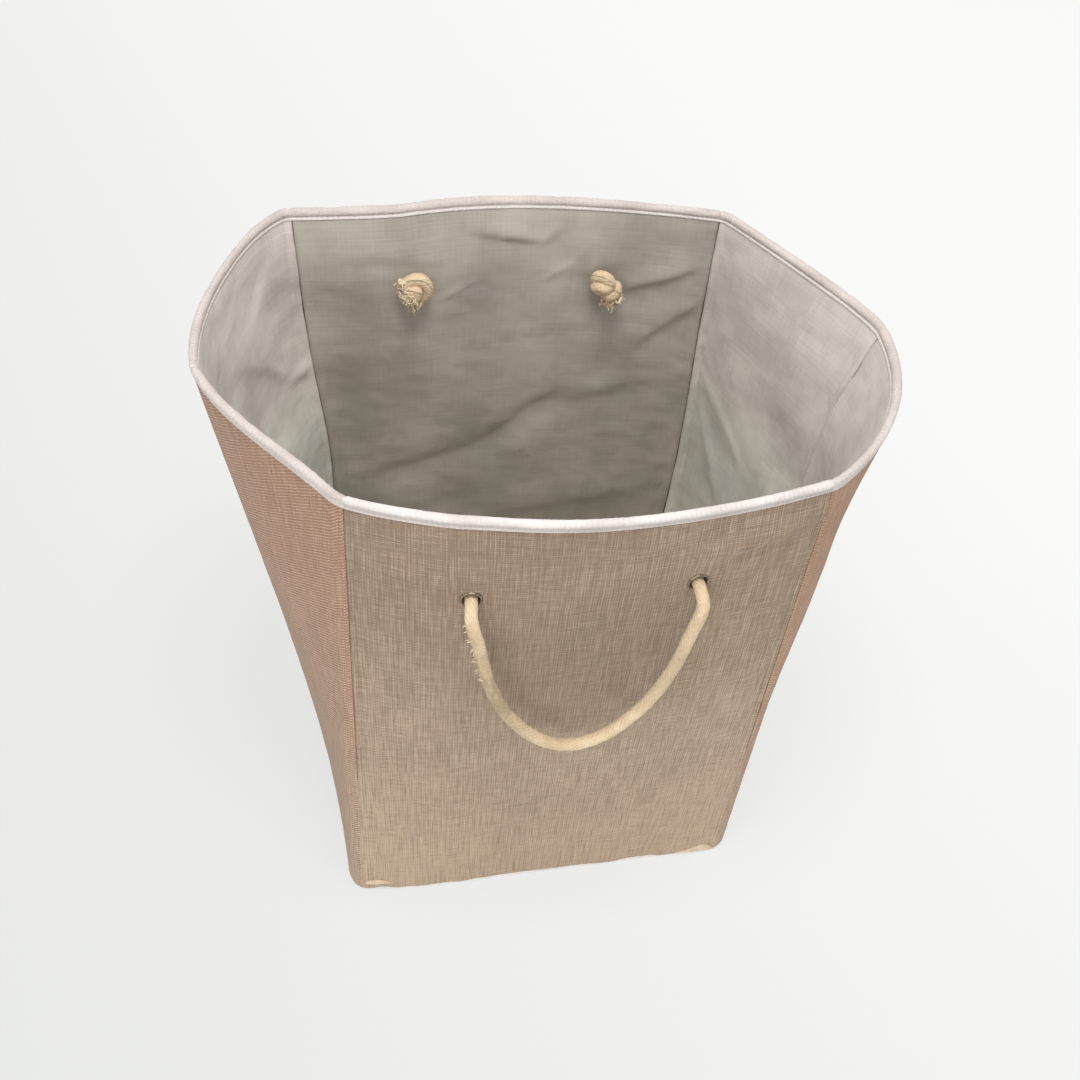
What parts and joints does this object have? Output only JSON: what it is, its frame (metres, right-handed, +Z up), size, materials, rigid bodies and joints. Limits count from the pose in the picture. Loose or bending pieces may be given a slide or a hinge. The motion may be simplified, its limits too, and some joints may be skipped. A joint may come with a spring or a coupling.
{
  "type": "pop up laundry hamper",
  "caption": "Tall soft-sided laundry hamper with a grey lining, a rolled white rim and rope handles; creased sides and a split base let it fold flat.",
  "frame": {"origin": "on the ground under the middle of the hamper", "axes": "+Z up; -Y to the front, the wall nearest the camera in the picture; +X to the hamper's right in the picture, along its longest extent from side crease to side crease"},
  "size_m": [0.6074, 0.4568, 0.54],
  "materials": {
    "outer_cloth": "warm beige linen-look plain weave with slubs",
    "lining": "smooth warm grey lining cloth",
    "binding": "off-white cloth tape rolled over the rim",
    "board": "thin flexible stiffening board, hidden between the cloths",
    "base_cloth": "pale cream base cloth",
    "rope": "cream cotton rope, fine diagonal lay, fuzzy",
    "eyelet": "darkened nickel"
  },
  "bodies": {
    "back_wall": {"back_outer_cloth": "outer_cloth", "back_stiffener": "board", "back_lining": "lining", "back_rim_binding": "binding", "back_left_eyelet": "eyelet", "back_left_washer": "eyelet", "back_left_rope_end": "rope", "back_right_eyelet": "eyelet", "back_right_washer": "eyelet", "back_right_rope_end": "rope", "left_front_outer_cloth": "outer_cloth", "left_front_stiffener": "board", "left_front_lining": "lining", "left_front_rim_binding": "binding", "left_back_outer_cloth": "outer_cloth", "left_back_stiffener": "board", "left_back_lining": "lining", "left_back_rim_binding": "binding", "right_front_outer_cloth": "outer_cloth", "right_front_stiffener": "board", "right_front_lining": "lining", "right_front_rim_binding": "binding", "right_back_outer_cloth": "outer_cloth", "right_back_stiffener": "board", "right_back_lining": "lining", "right_back_rim_binding": "binding"},
    "front_wall": {"front_outer_cloth": "outer_cloth", "front_stiffener": "board", "front_lining": "lining", "front_rim_binding": "binding", "front_left_eyelet": "eyelet", "front_left_washer": "eyelet", "front_left_rope_end": "rope", "front_right_eyelet": "eyelet", "front_right_washer": "eyelet", "front_right_rope_end": "rope"},
    "floor_back": {"back_floor_base_cloth": "base_cloth", "back_floor_board": "board", "back_floor_lining": "lining"},
    "floor_front": {"front_floor_base_cloth": "base_cloth", "front_floor_board": "board", "front_floor_lining": "lining"},
    "front_handle": {"front_handle_rope": "rope"},
    "back_handle": {"back_handle_rope": "rope"}
  },
  "joints": [
    {"name": "floor_fold", "type": "hinge", "parent": "back_wall", "child": "floor_back", "pos_m": [0, 0.1697, 0.0042], "axis": [-1, 0, 0], "range_deg": [0, 84], "deforming": ["left_front_outer_cloth", "left_front_stiffener", "left_front_lining", "left_front_rim_binding", "left_back_outer_cloth", "left_back_stiffener", "left_back_lining", "left_back_rim_binding", "right_front_outer_cloth", "right_front_stiffener", "right_front_lining", "right_front_rim_binding", "right_back_outer_cloth", "right_back_stiffener", "right_back_lining", "right_back_rim_binding"]},
    {"name": "floor_crease", "type": "hinge", "parent": "floor_back", "child": "floor_front", "pos_m": [0, 0, 0], "axis": [-1, 0, 0], "range_deg": [-168, 0]},
    {"name": "front_wall_fold", "type": "hinge", "parent": "floor_front", "child": "front_wall", "pos_m": [0, -0.1697, 0.0042], "axis": [-1, 0, 0], "range_deg": [0, 86]},
    {"name": "front_handle_swing", "type": "hinge", "parent": "front_wall", "child": "front_handle", "pos_m": [0, -0.2174, 0.443], "axis": [-1, 0, 0], "range_deg": [0, 115]},
    {"name": "back_handle_swing", "type": "hinge", "parent": "back_wall", "child": "back_handle", "pos_m": [0, 0.2174, 0.443], "axis": [1, 0, 0], "range_deg": [0, 115]}
  ],
  "couplings": [
    {"joint": "floor_crease", "follows": "floor_fold", "ratio": -2},
    {"joint": "front_wall_fold", "follows": "floor_fold", "ratio": 1.0217}
  ]
}
